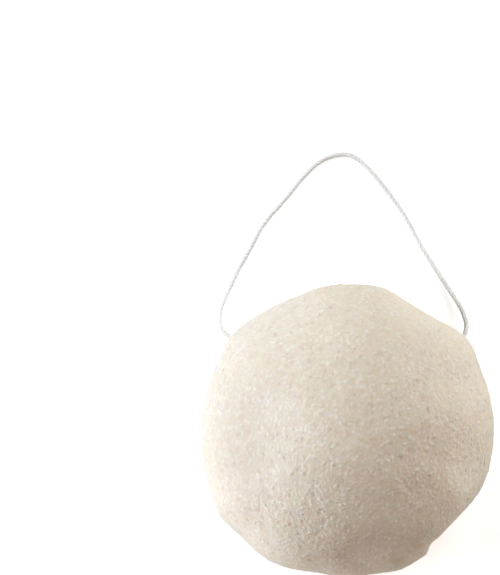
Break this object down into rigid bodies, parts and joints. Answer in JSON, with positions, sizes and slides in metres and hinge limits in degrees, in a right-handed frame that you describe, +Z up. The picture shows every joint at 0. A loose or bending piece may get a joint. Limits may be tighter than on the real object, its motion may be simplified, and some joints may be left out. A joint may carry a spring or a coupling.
{
  "type": "konjac sponge",
  "caption": "Half-ball konjac face sponge of soft fibre foam, lying on its flat face, with a cotton hanging cord threaded through it near its edge.",
  "frame": {"origin": "middle of the puff's box on the surface it lies on, the plane of its flat face", "axes": "+Z up out of the flat face through the crown, +X along the tunnel that the cord is threaded through, +Y from the puff's middle towards the hanging loop"},
  "size_m": [0.0796, 0.1157, 0.0448],
  "materials": {
    "konjac_foam": "matte",
    "cotton_cord": "matte"
  },
  "bodies": {
    "sponge": {"sponge_puff": "konjac_foam"},
    "cord": {"cord_loop": "cotton_cord", "threaded_run_left": "cotton_cord", "threaded_run_right": "cotton_cord", "cord_knot": "cotton_cord", "knot_tail_left": "cotton_cord", "knot_tail_right": "cotton_cord"}
  },
  "joints": [
    {"name": "loop_swing", "type": "hinge", "parent": "sponge", "child": "cord", "pos_m": [0, 0.0242, 0.006], "axis": [1, 0, 0], "range_deg": [0, 90]}
  ]
}
